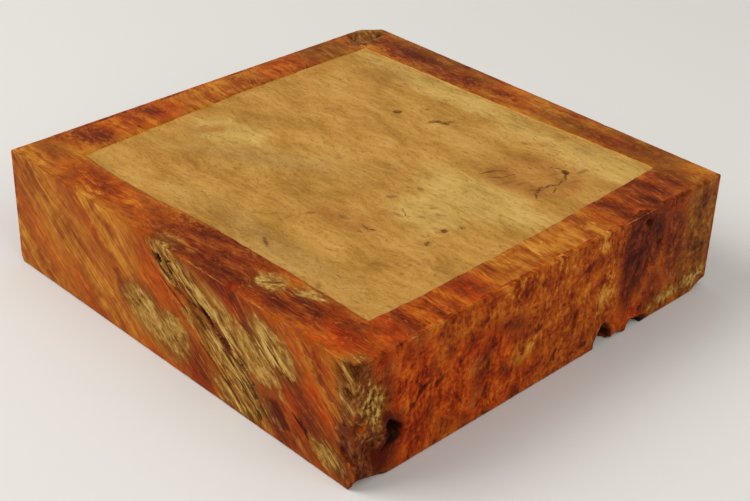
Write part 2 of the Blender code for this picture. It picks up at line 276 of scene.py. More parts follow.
STAINS: dict[Field, tuple[Stain, ...]] = {
    # Punky, olive-tan wood: the streak, the patches under it, the corner's bark pocket and the rear knot
    Field.DECAYED: (
        *on(
            Side.FRONT, Stain,
            (2, 46, 11, 5.4, -34), (20, 39, 17, 5.6, -31), (37, 33, 16, 5.6, -32), (29, 21.8, 19, 4.8, -31),
            (45, 14.6, 14, 5.6, -38), (60, 38.4, 12, 6.6, -22), (51, 31, 13, 6, -32),
            (-14, 18, 12, 7.6, -20), (-2, 13, 12, 6, -8), (4.6, 15.2, 8.6, 8, -50), (42, 7.4, 13, 6.4, -10),
            (88.6, 8.6, 7.6, 4, -14), (98.4, 42, 8, 3.2, 96, 4),
        ),
        *on(
            Side.RIGHT, Stain,
            (-93, 32.4, 8.4, 4.2, 96, 3), (72, 6, 5, 1.8, 10, 4), (91, 7.6, 6, 2, 14, 4),
        ),
        *on(Side.TOP, Stain, (44, -88, 5.4, 4.2), (59, -83.4, 4.4, 1.8, 10), (-96, 93, 7, 6, 30)),
        *on(Side.REAR, Stain, (-38, 27, 30, 3.6, DIP), (-50, 28, 16, 3, DIP)),
        *on(Side.LEFT, Stain, (-24, 13, 10, 3, 34), (-12, 20, 6, 2.2, -14)),
    ),
    # Decayed wood whose fibres have come apart
    Field.OPENED: (
        *on(
            Side.FRONT, Stain,
            (24, 31, 40, 10, -35.5), (44, 12, 18, 11, -34), (58, 36, 13, 6, -30), (96, 26, 30, 8, 90, 6),
        ),
        *on(Side.RIGHT, Stain, (-96, 26, 30, 9, 90, 6)),
        *on(Side.REAR, Stain, (-46, 28, 34, 8, DIP)),
    ),
    # Dark brown, crumbling wood round the decayed parts
    Field.BARKY: (
        *on(
            Side.RIGHT, Stain,
            (-100, 48, 6, 3, 90, 4), (-96, 13, 14, 7.6, 90, 5), (-99, 38, 17, 3.4, 90, 4),
        ),
        *on(Side.FRONT, Stain, (98, 26, 26, 3.6, 90, 5), (95, 8, 7, 5, -20, 5), (61, 9, 8, 4, -50, 4)),
        *on(Side.TOP, Stain, (-90, 82, 6, 4, 60, 4)),
        *on(Side.REAR, Stain, (-46, 20, 18, 3, DIP, 4)),
    ),
    # Wood that rot and bark have turned almost black-brown
    Field.DUSK: (
        *on(
            Side.RIGHT, Stain,
            (50, 38, 19, 9.6, 88, 5), (60, 40, 12, 6, 100, 5), (45, 22, 8, 3, 100, 4),
            (-87, 15, 9, 5.6, 100, 5), (-84, 21, 7, 4, -46, 5), (-96, 42, 9, 1.6, 94, 3),
        ),
        *on(Side.FRONT, Stain, (97, 20, 14, 3, 90, 4), (60, 10, 7, 2.6, -50)),
        *on(Side.TOP, Stain, (-89, 87, 6, 3.4, 40, 4), (84, 70, 7, 2)),
        *on(Side.LEFT, Stain, (61, 38, 11, 3, 70, 4), (50, 19, 9, 2.6, 100, 4)),
    ),
    # Wood that fungus has turned dark red-brown
    Field.MAROON: (
        *on(
            Side.TOP, Stain,
            (16, -93, 32, 10), (8, -84, 22, 6, 6), (58, -92, 18, 8), (-91, -69, 9.6, 7.4, 20),
            (-94, -37, 6, 3.6, 40), (-90, 14, 7, 2.2, 30), (56, 92, 13, 3.6, 8), (-84, 44, 5, 4, 80),
            (-66, 90, 17, 6.4), (-36, 88, 19, 5.6), (-8, 90, 7, 3), (92, 46, 12, 5), (91, 64, 13, 11),
            (90, 80, 9, 4), (84, -84, 7, 2.2, 30), (90, -70, 11, 2.4, -12),
        ),
        *on(
            Side.FRONT, Stain,
            (30, 50, 26, 3.4, -4), (33, 28.8, 20, 1.8, -31), (47, 44, 13, 2.4, -34), (84, 41, 8, 1.2, -52),
            (20, 11, 9, 4.4, -60), (-27.5, 22, 4.4, 2.4, -60), (62, 12, 12, 5, -45), (69, 30, 13, 5, -48),
            (78, 20, 16, 5, -50), (74, 6, 9, 5, -20),
        ),
        *on(
            Side.RIGHT, Stain,
            (50, 36, 20, 10, 84, 5), (62, 40, 14, 6, 70, 5), (45, 20, 9, 3.6, 96, 5),
            (64, 13, 9, 4.4, 100, 4), (74, 32, 18, 7, 96, 5), (-96, 46, 5, 2.4, 90, 4),
            (-88, 14, 14, 8, 90, 5), (-87, 38, 11, 2, 94, 4), (-38, 23, 9, 3, 76, 3),
            (-22, 34, 7, 2.4, -20, 3),
        ),
        *on(
            Side.REAR, Stain,
            (-20, 38, 26, 3, DIP), (-6, 14, 22, 2.4, DIP), (66, 14, 24, 3.4, DIP), (84, 30, 16, 1.6, DIP),
        ),
        *on(Side.LEFT, Stain, (56, 34, 18, 7, 70, 5), (66, 16, 12, 5, 110, 5), (-52, 40, 12, 2.6, 24, 4)),
    ),
    # Wood that the wax has turned a saturated red-orange
    Field.EMBER: (
        *on(
            Side.FRONT, Stain,
            (46, 47, 26, 6.4, -20), (72, 40, 10, 4, -50), (10, 30, 16, 2.6, -36), (72, 18, 26, 5, -42),
            (84, 44, 12, 2, -56), (81, 31, 14, 3.6, -48), (-6, 42, 10, 2.4, -60), (17, 5, 7, 3, -20),
        ),
        *on(
            Side.RIGHT, Stain,
            (-74, 28, 25, 11, 90, 5), (-78, 8, 16, 7, 0, 5), (-44, 24, 22, 15, 10, 4),
            (-30, 9, 24, 7, 0, 4), (49, 7.4, 11, 6, -14, 7), (-87, 46, 9, 6.4, 90, 4),
        ),
        *on(Side.TOP, Stain, (82, -93, 13, 6), (93, -78, 9, 7), (91, -38, 12, 5), (-92, -34, 10, 4)),
        *on(Side.LEFT, Stain, (0, 26, 36, 14, 20, 4)),
        *on(Side.REAR, Stain, (10, 20, 30, 8, DIP)),
    ),
    # Wood that the wax has turned a redder brown than amber
    Field.RUSSET: (
        *on(
            Side.FRONT, Stain,
            (40, 24, 66, 34, -32), (-50, 44, 24, 3, DIP), (-84, 20, 22, 3.4, DIP), (-52, 8, 18, 4, DIP),
        ),
        *on(
            Side.TOP, Stain,
            (44, -92, 74, 14), (-30, 93, 44, 5), (-52, -91, 26, 8), (-91, -50, 9, 28), (-92, 40, 9, 16),
            (92, -60, 12, 34), (92, 60, 14, 28),
        ),
        *on(Side.REAR, Stain, (10, 24, 60, 20, DIP)),
        *on(Side.BASE, Stain, (-20, -92, 60, 12), (30, 92, 50, 12)),
    ),
    # Sound wood that the wax has turned gold
    Field.HONEY: (
        *on(
            Side.FRONT, Stain,
            (-72, 34, 40, 4, DIP), (-48, 18, 40, 5, DIP), (-36, 40, 24, 3, DIP), (-88, 8, 24, 4, DIP),
        ),
        *on(
            Side.RIGHT, Stain,
            (31, 24, 8, 3, 84, 4), (-18, 16, 6, 4, 60, 3), (92, 26, 8, 3.4, 100, 3), (96, 16, 5, 2, 80, 5),
            (78, 18, 6, 4, 60, 4),
        ),
        *on(
            Side.TOP, Stain,
            (-94, -96, 7, 2.6), (96, 93, 5, 4), (93, 2, 7, 2.2), (93, 28, 8, 2.6), (93, -20, 9, 2.6),
            (20, 94, 16, 4),
        ),
        *on(Side.REAR, Stain, (60, 34, 30, 6, DIP)),
        *on(Side.LEFT, Stain, (-70, 28, 24, 16, 90, 4)),
    ),
    # Burl that the wax has left a dull brown
    Field.UMBER: (
        *on(Side.RIGHT, Stain, (90, 28, 28, 13, 90, 5)),
        *on(Side.LEFT, Stain, (84, 26, 26, 14, 90, 5)),
        *on(
            Side.TOP, Stain,
            (64, 94, 22, 9), (34, 90, 18, 6), (-50, 93, 36, 10), (-93, 62, 10, 14), (-92, -88, 7, 3.6),
            (88, 86, 9, 6),
        ),
    ),
    # Burl grown without direction: mottles and eyes in place of streaks
    Field.BURLY: (
        *on(Side.RIGHT, Stain, (0, 26, 140, 70, 0, 2.6)),
        *on(Side.LEFT, Stain, (0, 26, 140, 70, 0, 2.6)),
    ),
    # Browner wood in the bare window, round the fine crack and the pin knots
    Field.TOFFEE: (
        *on(
            Side.TOP, Stain,
            (46, 35, 13, 9), (47, 50, 15, 8), (60, 43, 13, 14), (-79, 46, 3, 7), (26, -38, 14, 7),
            (-64.5, -29.3, 9, 3, 62),
        ),
    ),
    # Paler, creamy wood in the bare window
    Field.CREAM: (
        *on(
            Side.TOP, Stain,
            (62, 74, 26, 10), (46, -10, 16, 12), (52, 12, 30, 13), (-20, 74, 60, 8), (-58, -24, 16, 12, 20),
        ),
    ),
    # Wood in the bare window that decay has just begun to grey
    Field.SMOKE: (
        *on(Side.TOP, Stain, (-32, -30, 34, 7, 30), (-64, -32, 6, 7, 60), (20, -70, 40, 7)),
    ),
    # Small dark specks
    Field.SPECKS: (
        *on(
            Side.TOP, Stain,
            (-61, -12, 1.6, 1.2), (-8.4, 48, 2.6, 1, 70), (-3.6, 53.4, 2, 0.9, 30),
            (15.8, -44, 2.4, 1.2, 60), (26, -37.4, 2.4, 1.2, 20), (27, -12, 2.2, 1.2, 50), (30, 1, 1.8, 1),
            (38, -20.4, 2.4, 0.9, 10), (46, -14.6, 1.6, 0.9, 40), (49, -9, 1.8, 0.9, -30),
            (44, -6, 1.6, 0.8, 60), (38, 32.6, 2.6, 1.4, 60), (56, -76.6, 2, 0.9, -40), (7, -55, 2, 1, 60),
            (30.5, 62, 1.4, 0.9), (49, 31, 3.4, 1, 70), (53, 34, 2.6, 0.9, 80), (62.6, 60.4, 2.6, 0.9, 84),
            (66, 52, 2.4, 0.8, 80), (56.6, 50.4, 2, 0.8, 70),
        ),
        *on(
            Side.RIGHT, Stain,
            (-36, 12, 3.4, 1, 70), (-26, 36, 2, 1, 20), (-33, 30, 2.4, 1.4), (14, 22, 3.4, 1.6, 80),
            (20, 6, 3, 1.4), (-82, 16, 5.4, 2.4, -44), (-86, 24, 5, 2, -60), (-88.6, 9, 7, 3.4, 70),
            (-61, 27.6, 2.6, 1.2, 40), (-35.4, 22.6, 2.6, 0.9, 70), (-37, 27, 1.8, 0.9, 50),
            (-34.6, 19, 1.4, 0.8), (-53, 12, 2.2, 0.8, 70), (-8, 26, 2.4, 1, 20), (2, 9, 3, 1, 60),
            (-12, 8, 2, 0.9),
        ),
        *on(Side.FRONT, Stain, (24, 33, 8, 1.8, -29), (64, 12, 7, 2.6, -50), (76, 14, 4, 1.6, -50)),
    ),
}

# Clefts that no light gets into: beside the corner, and in the broken lower edge
CLEFTS = on(
    Side.RIGHT, Stain,
    (-80.6, 18.2, 5.6, 2.2, -45, 9), (-83.4, 13.6, 6.6, 2.2, 21, 9), (-84, 17.4, 4.4, 3, 90, 9),
    (33, 3.4, 6.4, 4.6, 0, 9), (56, 1.6, 7, 3, 0, 7),
)

# Fine cracks: along the streak, beside the corner, in the end grain, and the branched one in the window
CRACKS = (
    Crack(Side.FRONT, ((-8, 41.6), (-2, 38.4), (5.9, 33.6), (12, 29.8)), 0.7),
    Crack(Side.FRONT, ((-7, 47), (-3.4, 43.4), (2.6, 40)), 1.4),
    Crack(Side.FRONT, ((0.6, 46.6), (3.2, 41.7), (6.6, 39.2)), 1.2),
    Crack(Side.FRONT, ((6, 37), (13, 34.6), (18.7, 34.4), (29.5, 31), (36, 26.6)), 1.6),
    Crack(Side.FRONT, ((12, 40), (22, 36.2), (27, 32)), 0.8),
    Crack(Side.FRONT, ((30.2, 28.4), (38, 24), (44.4, 21.6), (50, 18)), 1.4),
    Crack(Side.FRONT, ((31.5, 22.8), (38, 19.2), (45, 16.6), (50.6, 12)), 1.3),
    Crack(Side.FRONT, ((20, 20.2), (30, 13.6), (36, 10.4)), 0.9),
    Crack(Side.FRONT, ((34.2, 16.2), (42.3, 13.4), (46, 9.6)), 1),
    Crack(Side.FRONT, ((43, 10.8), (48.6, 8), (53.4, 4.2)), 1.4),
    Crack(Side.FRONT, ((49, 16), (54, 11), (58.6, 6)), 1.2),
    Crack(Side.FRONT, ((42, 41), (48, 38.4), (54.5, 34.6), (60, 30)), 0.9),
    Crack(Side.FRONT, ((58, 37.6), (63, 33.8)), 1.2),
    Crack(Side.FRONT, ((70.7, 17.4), (75, 14.4), (78.8, 10.6)), 1.2),
    Crack(Side.FRONT, ((-18, 21), (-12, 18.4)), 0.7),
    Crack(Side.RIGHT, ((-76, 21), (-71, 26.4), (-66.6, 29.6)), 1.3),
    Crack(Side.RIGHT, ((-35.4, 10), (-34.4, 7.6), (-34, 3.6)), 1.3),
    Crack(
        Side.TOP,
        (
            (64.8, 30), (62.2, 32.6), (62.4, 35), (60.2, 37.2), (61.8, 40), (61.2, 42), (63.8, 45),
            (62.4, 47.6), (63, 50), (60.2, 53), (58, 56.4),
        ),
        1.3,
    ),
    Crack(Side.TOP, ((59, 33.4), (61.6, 35.2)), 1.2),
    Crack(Side.TOP, ((66.4, 38.4), (64.6, 42)), 1),
    Crack(Side.TOP, ((37, 29), (38.6, 34), (42, 37.4)), 1.1),
    Crack(Side.TOP, ((42, 30), (45, 33.4), (46, 38)), 0.9),
    Crack(Side.TOP, ((52, 54), (55, 56)), 0.9),
    Crack(Side.TOP, ((-9, 47), (-5, 50), (-3, 54)), 1),
    Crack(Side.TOP, ((36, -36), (41, -34.6)), 1),
    Crack(Side.TOP, ((41, -18.4), (36.4, -15.4)), 0.7),
    Crack(Side.TOP, ((42, -90), (46.6, -85.6)), 1.2),
)


def noise(points: np.ndarray, cell: Triple, seed: int) -> np.ndarray:
    """Smooth noise from -1 to 1 at each point.

    Random values stand at the corners of boxes of the cell's size. Inside a box the eight values are
    blended, each axis by the share 3 f^2 - 2 f^3 of the way f across.

    Args:
        points: points in mm, one a row.
        cell: the box's size along each axis, in mm.
        seed: which of the random sets to use.

    Returns:
        One value for each point.
    """
    values = np.random.default_rng(seed).uniform(-1.0, 1.0, (NOISE_COUNT,) * 3)
    scaled = points / np.array(cell)
    low = np.floor(scaled).astype(int)
    share = scaled - low
    share = share * share * (3.0 - 2.0 * share)
    total = np.zeros(len(points))
    for corner in np.ndindex(2, 2, 2):
        step = np.array(corner)
        weight = np.where(step == 1, share, 1.0 - share).prod(axis=1)
        index = (low + step) % NOISE_COUNT
        total += weight * values[index[:, 0], index[:, 1], index[:, 2]]
    return total


def fibre_frame(points: np.ndarray) -> np.ndarray:
    """Points in the wood's own axes: along the fibres, across them level, and across them upwards.

    Args:
        points: points in the block's axes, one a row.

    Returns:
        The same points turned about Y by the grain's dip.
    """
    dip = math.radians(GRAIN_DIP)
    along = np.array([math.cos(dip), 0.0, -math.sin(dip)])
    upward = np.array([math.sin(dip), 0.0, math.cos(dip)])
    return np.stack([points @ along, points[:, 1], points @ upward], axis=1)


@dataclass(frozen=True)
class Relief:
    """A roughness of the wood: how deep it goes, its noise's size on each axis, both in mm, and its seed."""

    depth: float
    cell: Triple
    seed: int

    def swing(self, points: np.ndarray) -> np.ndarray:
        """The roughness at each point, from -1 to 1."""
        return noise(points, self.cell, self.seed)

    def share(self, points: np.ndarray) -> np.ndarray:
        """The roughness at each point, from 0 to 1."""
        return 0.5 + 0.5 * self.swing(points)


@dataclass(frozen=True)
class Ball:
    """A lumpy ball that wood is taken out by.

    Its radius in a direction (x, y, z) is 1 + lumps (sin(a x + 1.7 n) cos(a y - 0.9 n)
    + 0.6 sin(b z + 2.3 n) cos(b (x - y) + 1.1 n)), where a and b are the two waves and n is the ball's
    number, and then it is stretched by its half sizes along its axes. The surface slopes into it over the
    rim, in mm, and its far wall is found in a few rounds.
    """

    centre: np.ndarray
    axes: np.ndarray
    half: np.ndarray
    inward: np.ndarray
    number: int
    rim: float = 1.7
    lumps: float = 0.18
    waves: tuple[float, float] = (2.3, 4.1)
    rounds: int = 3

    def radius(self, unit: np.ndarray) -> np.ndarray:
        """The ball's radius in some directions.

        Args:
            unit: the directions, in the ball's own unit frame, one a row.

        Returns:
            The radius in each direction, in that frame.
        """
        length = np.maximum(np.linalg.norm(unit, axis=1, keepdims=True), 1e-9)
        x, y, z = (unit / length).T
        low, high = self.waves
        n = self.number
        swell = np.sin(low * x + 1.7 * n) * np.cos(low * y - 0.9 * n)
        ripple = np.sin(high * z + 2.3 * n) * np.cos(high * (x - y) + 1.1 * n)
        return 1.0 + self.lumps * (swell + 0.6 * ripple)

    def depth(self, points: np.ndarray) -> np.ndarray:
        """How far inside the ball each point is, in mm, and negative outside."""
        unit = (points - self.centre) @ self.axes / self.half
        return (self.radius(unit) - np.linalg.norm(unit, axis=1)) * self.half[:2].min()

    def sink(self, points: np.ndarray) -> np.ndarray:
        """How far each point moves along the inward direction to reach the ball's far wall.

        In the unit frame a point is q and the direction is d. The distance t solves |q + t d| = r for its
        larger root, with r taken where the last t led. A point outside the ball stays, and the rim slopes.

        Args:
            points: the surface's points so far.

        Returns:
            A distance in mm for each point, zero outside the ball.
        """
        depth = self.depth(points)
        inside = depth > 0.0
        moved = np.zeros(len(points))
        if not inside.any():
            return moved
        start = (points[inside] - self.centre) @ self.axes / self.half
        way = self.inward @ self.axes / self.half
        squared = way @ way
        lean = start @ way / squared
        spare = (start * start).sum(axis=1) / squared
        distance = np.zeros(len(start))
        for _ in range(self.rounds):
            radius = self.radius(start + distance[:, None] * way)
            distance = -lean + np.sqrt(np.maximum(lean**2 - spare + radius**2 / squared, 0.0))
        moved[inside] = distance * np.clip(depth[inside] / self.rim, 0.0, 1.0)
        return moved


@dataclass
class BurlBlock:
    """The block of burl wood: its surface, its attributes and its two finishes."""

    low: np.ndarray
    high: np.ndarray
    arris: float = 0.7
    # Where the lines on each arris stand and where the even ones start, in widths of the arris
    rounding: Triple = (0.0, 0.3, 0.8)
    clear: float = 1.8
    # The wax film's thickness, and the width of the step at its edge
    film: float = 0.4
    step_width: float = 0.3
    # The edge of the wax film on each side of the window, as (along that side, distance from the middle)
    edge_left: tuple = ((-81.7, -78.6), (-44, -81), (0, -83.8), (40, -84.6), (79.9, -84))
    edge_right: tuple = ((-79.1, 84.3), (-52, 84.9), (-20, 84.2), (20, 83.1), (58, 81.2), (86, 79.6))
    edge_front: tuple = (
        (-78.6, -81.7), (-64, -82.8), (-44, -82.6), (-27, -81.8), (-14, -80.2),
        (4, -79.2), (38, -78.8), (66, -79.2), (84.3, -79.1),
    )
    edge_rear: tuple = ((-84, 79.9), (-44, 81.4), (0, 82.4), (40, 84.6), (79.6, 86))
    # How far inside the film's edge the lines still bend with it, and a half size that is surely inside it
    bend_reach: float = 30.0
    bare_half: float = 80.0
    # Line spacing on each axis, coarse and fine, the stretches along X and Y that have the fine one, and
    # the samples that the spacing is summed over
    coarse: Triple = (1.9, 1.9, 0.86)
    fine: Triple = (0.78, 0.92, 0.86)
    fine_stretches: tuple = (((-10, 66), (89, 101)), ((-101, -64), (28, 60)), ())
    samples: int = 2001
    # The film's ragged edge, the ridges of decayed wood, the knobs of torn wood and the arrises' nicks
    ragged: Relief = Relief(0.3, (3.6, 3.6, 1.0), 5)
    ridges: Relief = Relief(0.3, (22.0, 2.2, 2.2), 11)
    knobs: Relief = Relief(1.1, (2.2, 2.0, 2.4), 12)
    nicks: Relief = Relief(0.55, (3.4, 3.4, 3.0), 13)
    nick_start: float = 0.1
    # How deep inside a stain the ridges are full, how fast the painted shade darkens a hollow, and how dark,
    # in its depth
    ridge_start: float = 2.0
    pit_slope: float = 1.5
    pit_share: float = 1 / 3
    # How steeply the surface looks up on an upper arris, which gets a painted highlight, and where the top's
    # grain begins and is alone
    upper: float = 0.2
    level_slants: tuple[float, float] = (0.6, 0.85)
    # Millimetres between the sides on the map that the finishes are baked through
    map_gap: float = 2.0

    def plane(self, side: Side) -> float:
        """Where a side lies along the axis out of it."""
        return self.high[side.out] if side.sign > 0 else self.low[side.out]

    def middles(self, axis: int) -> tuple[float, float]:
        """Where the window's two edges across an axis lie on average."""
        pair = (self.edge_left, self.edge_right) if axis == 0 else (self.edge_front, self.edge_rear)
        return tuple(float(np.mean([place for _, place in edge])) for edge in pair)

    def stretch(self, axis: int, start: float, end: float) -> np.ndarray:
        """Lines from start to end, spaced finely where the axis asks for it.

        The density, one over the spacing, is summed along the axis, and lines stand at equal sums.

        Args:
            axis: 0, 1 or 2.
            start: the first line, in mm.
            end: the last line, in mm.

        Returns:
            The lines' places, in order.
        """
        places = np.linspace(start, end, self.samples)
        density = np.full(len(places), 1.0 / self.coarse[axis])
        for low, high in self.fine_stretches[axis]:
            density[(places > low) & (places < high)] = 1.0 / self.fine[axis]
        total = np.concatenate([[0.0], np.cumsum((density[1:] + density[:-1]) / 2 * np.diff(places))])
        count = max(int(round(total[-1])), 1)
        return np.interp(np.linspace(0.0, total[-1], count + 1), total, places)

    def lines(self, axis: int) -> tuple[np.ndarray, tuple[int, int]]:
        """The lattice's lines across one axis.

        Args:
            axis: 0, 1 or 2.

        Returns:
            The lines' places, and the numbers of the first and last line inside the window.
        """
        low, high = self.low[axis], self.high[axis]
        rounding = np.array(self.rounding) * self.arris
        stops = [low + self.clear * self.arris, high - self.clear * self.arris]
        if axis != 2:
            half_step = self.step_width / 2
            near, far = self.middles(axis)
            stops[1:1] = [near - half_step, near + half_step, far - half_step, far + half_step]
        parts = [self.stretch(axis, *pair) for pair in zip(stops[::2], stops[1::2])]
        window = (0, 0)
        if axis != 2:
            first = len(rounding) + len(parts[0])
            window = (first, first + len(parts[1]) - 1)
        return np.concatenate([low + rounding, *parts, (high - rounding)[::-1]]), window

    def lattice(self) -> None:
        """Lay a grid of lines over the six sides and give each point on them one number.

        A point is numbered by its three line numbers, and equal ones from neighbouring sides are one point,
        so the surface is closed.
        """
        axes = [self.lines(axis) for axis in range(3)]
        self.grid = [places for places, _ in axes]
        self.window = [window for _, window in axes]
        counts = [len(places) for places in self.grid]
        corners, inside_window, owners = [], [], []
        for order, side in enumerate(Side):
            along, up = np.meshgrid(np.arange(counts[side.along]), np.arange(counts[side.up]), indexing="ij")
            index = np.zeros((*along.shape, 3), dtype=int)
            index[..., side.along] = along
            index[..., side.up] = up
            index[..., side.out] = counts[side.out] - 1 if side.sign > 0 else 0
            number = (index[..., 0] * counts[1] + index[..., 1]) * counts[2] + index[..., 2]
            quads = np.stack([number[:-1, :-1], number[1:, :-1], number[1:, 1:], number[:-1, 1:]], axis=-1)
            if side.turned:
                quads = quads[..., ::-1]
            corners.append(quads.reshape(-1, 4))
            bare = np.zeros(quads.shape[:2], dtype=bool)
            if side.level:
                (x0, x1), (y0, y1) = self.window[:2]
                bare[x0:x1, y0:y1] = True
            inside_window.append(bare.ravel())
            owners.append(np.full(bare.size, order))
        numbers, self.quads = np.unique(np.concatenate(corners), return_inverse=True)
        self.quads = self.quads.reshape(-1, 4)
        self.bare = np.concatenate(inside_window)
        self.owner = np.concatenate(owners)
        rows, layers = np.divmod(numbers, counts[2])
        columns, rows = np.divmod(rows, counts[1])
        self.index = np.stack([columns, rows, layers], axis=1)
        self.flat = np.stack([self.grid[axis][self.index[:, axis]] for axis in range(3)], axis=1)
        self.ends = np.array(counts) - 1

    def follow_window(self, points: np.ndarray) -> np.ndarray:
        """Bend the lines of the top and the base so that two of each four follow the wax film's edge.

        A line moves by the edge's distance from its own average, times a weight that is 1 at the edge and
        falls evenly to 0 at the arris outside and, inside, at the bend's reach from it.

        Args:
            points: the lattice's points.

        Returns:
            The points with the top's and the base's moved along X and Y.
        """
        moved = points.copy()
        level = (self.index[:, 2] == 0) | (self.index[:, 2] == self.ends[2])
        flat = points[level]
        for axis, edges in enumerate(((self.edge_left, self.edge_right), (self.edge_front, self.edge_rear))):
            other = flat[:, 1 - axis]
            # Each axis reads the ragged edge's noise from a place of its own
            ragged = self.ragged.depth * self.ragged.swing(flat * (1, 1, 0) + 300.0 * axis)
            for edge, middle in zip(edges, self.middles(axis)):
                at, place = np.array(edge).T
                wanted = np.interp(other, at, place) + ragged
                gap = (flat[:, axis] - middle) * math.copysign(1.0, middle)
                room = self.high[axis] - abs(middle)
                weight = np.where(gap > 0, 1.0 - gap / room, 1.0 + gap / self.bend_reach).clip(0.0, 1.0)
                moved[level, axis] += weight * (wanted - middle)
        return moved

    def ease_arrises(self, points: np.ndarray) -> tuple[np.ndarray, np.ndarray]:
        """Round the block's edges.

        Each point is pulled to the arris radius from the nearest point of a box that is smaller by that
        radius on every side.

        Args:
            points: the lattice's points.

        Returns:
            The rounded points, and the direction outwards at each.
        """
        core = np.clip(points, self.low + self.arris, self.high - self.arris)
        away = points - core
        away /= np.linalg.norm(away, axis=1, keepdims=True)
        return core + self.arris * away, away

    def hollow_ball(self, hollow: Hollow, number: int) -> Ball:
        """The ball that takes out a crack or pit.

        Args:
            hollow: the crack or pit.
            number: the ball's number, which its lumps depend on.

        Returns:
            The ball, which sinks the surface straight into its side.
        """
        side = hollow.side
        along, up, out = (np.eye(3)[axis] for axis in (side.along, side.up, side.out))
        slope = math.radians(hollow.slope)
        centre = along * hollow.along + up * hollow.up + out * self.plane(side)
        if side.level and abs(hollow.up) < self.bare_half:
            centre[2] -= side.sign * self.film
        first = along * math.cos(slope) + up * math.sin(slope)
        second = up * math.cos(slope) - along * math.sin(slope)
        axes = np.stack([first, second, np.cross(along, up)], axis=1)
        half = np.array([hollow.length / 2, hollow.width / 2, hollow.depth])
        return Ball(centre, axes, half, -side.sign * out, number)

    def chip_ball(self, chip: Chip, number: int) -> Ball:
        """The ball that breaks an edge or a corner.

        Args:
            chip: the missing wood.
            number: the ball's number, which its lumps depend on.

        Returns:
            The ball, which sinks the surface away from the sides that it crosses.
        """
        dip = math.radians(GRAIN_DIP if chip.along_grain else 0.0)
        axes = np.array([
            [math.cos(dip), 0.0, math.sin(dip)],
            [0.0, 1.0, 0.0],
            [-math.sin(dip), 0.0, math.cos(dip)],
        ])
        centre, half = np.array(chip.centre), np.array(chip.half)
        extent = np.sqrt(((axes * half) ** 2).sum(axis=1))
        inward = np.where(centre + extent > self.high, -1.0, np.where(centre - extent < self.low, 1.0, 0.0))
        return Ball(centre, axes, half, inward / np.linalg.norm(inward), number)

    def stain_depth(self, stains: tuple[Stain, ...], points: np.ndarray) -> np.ndarray:
        """How far inside the nearest stain each point is, in mm, and negative outside.

        For each stain that is (1 - r) times its smaller half size, where r is the point's distance from
        the centre with each axis measured in half sizes.

        Args:
            stains: the patches of one kind.
            points: the surface's points.

        Returns:
            One value for each point, kept within the fields' reach.
        """
        depth = np.full(len(points), -FIELD_REACH)
        for stain in stains:
            side = stain.side
            slope = math.radians(stain.slope)
            along = points[:, side.along] - stain.along
            up = points[:, side.up] - stain.up
            first = (along * math.cos(slope) + up * math.sin(slope)) / stain.half_length
            second = (up * math.cos(slope) - along * math.sin(slope)) / stain.half_width
            behind = (points[:, side.out] - self.plane(side)) / stain.reach
            radius = np.sqrt(first**2 + second**2 + behind**2)
            depth = np.maximum(depth, (1.0 - radius) * min(stain.half_length, stain.half_width))
        return depth.clip(-FIELD_REACH, FIELD_REACH)

    def crack_fields(self, points: np.ndarray) -> tuple[np.ndarray, np.ndarray]:
        """Where each point lies from the nearest drawn crack.

        For a straight part of a crack from a to b the distance is that from the point p to a + s (b - a),
        where s = (p - a).(b - a) / |b - a|^2 is kept from 0 to 1. The place across it has that size in half
        widths of the crack, and a sign that tells the two banks apart.

        Args:
            points: the surface's points.

        Returns:
            How near the crack is, as minus the distance in mm, and the place across it.
        """
        near = np.full(len(points), -FIELD_REACH)
        across = np.full(len(points), FIELD_REACH)
        for crack in CRACKS:
            side = crack.side
            flat = points[:, [side.along, side.up]]
            behind = points[:, side.out] - self.plane(side)
            for start, end in zip(np.array(crack.path[:-1]), np.array(crack.path[1:])):
                span = end - start
                share = ((flat - start) @ span / (span @ span)).clip(0.0, 1.0)
                away = flat - start - share[:, None] * span
                distance = np.hypot(np.linalg.norm(away, axis=1), behind)
                bank = np.where(away @ np.array((-span[1], span[0])) < 0.0, -1.0, 1.0)
                closer = -distance > near
                near = np.where(closer, -distance, near)
                across = np.where(closer, bank * distance * 2.0 / crack.width, across)
        return near, across.clip(-FIELD_REACH, FIELD_REACH)

    def shape(self) -> None:
        """Work out the surface: rounded, stepped at the film's edge, carved and roughened.

        Each chip and hollow sinks the points inside its ball. Then each point moves inwards by its ridges,
        knobs and nicks. The ridges are squared and fade in from the stain's edge, the knobs stand where wood
        is torn out, and the nicks where the direction outwards leans between two sides.
        """
        self.lattice()
        points, outward = self.ease_arrises(self.follow_window(self.flat))
        (x0, x1), (y0, y1) = self.window[:2]
        columns, rows, layers = self.index.T
        in_window = (columns >= x0) & (columns <= x1) & (rows >= y0) & (rows <= y1)
        points[in_window & (layers == self.ends[2]), 2] -= self.film
        points[in_window & (layers == 0), 2] += self.film

        fibres = fibre_frame(points)
        fields = {kind: self.stain_depth(stains, points) for kind, stains in STAINS.items()}
        fields[Field.CRACK], fields[Field.BANK] = self.crack_fields(points)

        torn = np.full(len(points), -FIELD_REACH)
        for number, chip in enumerate(CHIPS):
            ball = self.chip_ball(chip, number)
            torn = np.maximum(torn, ball.depth(points))
            points += ball.sink(points)[:, None] * ball.inward

        # The clefts get painted shade, and the dark hollows painted shade with some dirt, darker as they go
        # in
        pit = self.stain_depth(CLEFTS, points)
        for number, hollow in enumerate(HOLLOWS):
            ball = self.hollow_ball(hollow, number)
            distance = ball.sink(points)
            if hollow.dark:
                darkness = np.minimum(self.pit_slope * ball.depth(points), self.pit_share * hollow.depth)
                pit = np.maximum(pit, darkness)
            points += distance[:, None] * ball.inward

